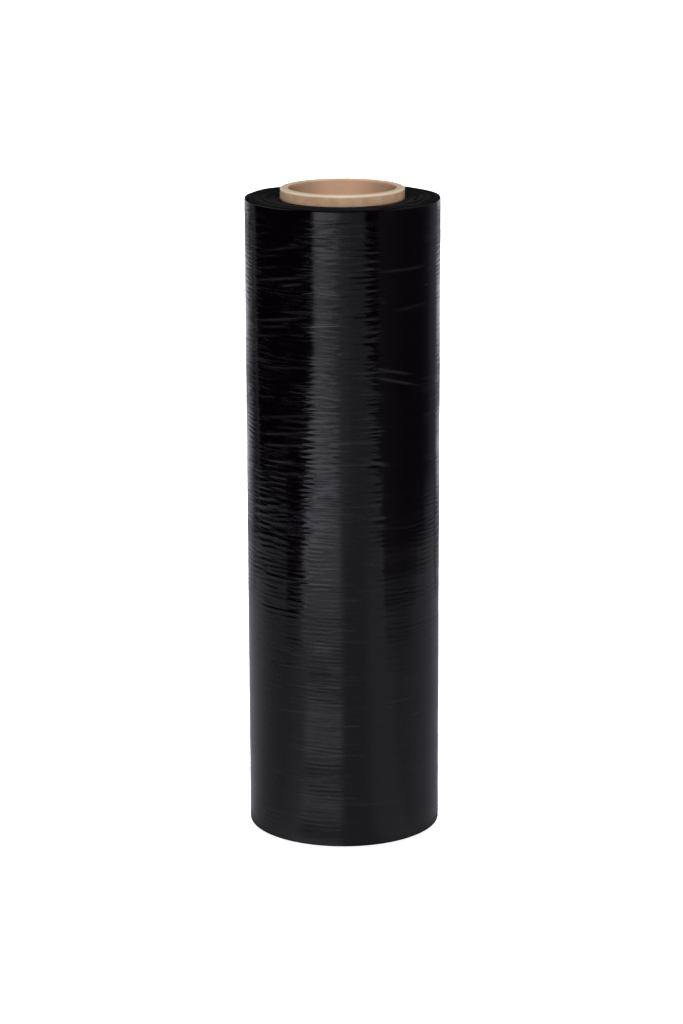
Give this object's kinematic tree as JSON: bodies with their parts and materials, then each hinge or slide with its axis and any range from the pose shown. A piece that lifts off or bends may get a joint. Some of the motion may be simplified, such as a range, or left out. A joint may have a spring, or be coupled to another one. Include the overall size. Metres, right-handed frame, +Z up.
{
  "type": "stretch wrap roll",
  "caption": "Upright roll of glossy black stretch film wound on a kraft paper core that stands proud at both ends and slips over a dispenser spindle.",
  "frame": {"origin": "centre of the core's lower end, on the surface that the roll stands on", "axes": "+Z up along the roll's axis, -Y towards the front"},
  "size_m": [0.1377, 0.1379, 0.4714],
  "materials": {
    "kraft_board": "matte spiral-wound kraft board",
    "black_film": "glossy black cling film in tight turns"
  },
  "bodies": {
    "root": {"paper_core": "kraft_board", "film_roll": "black_film"}
  },
  "joints": []
}
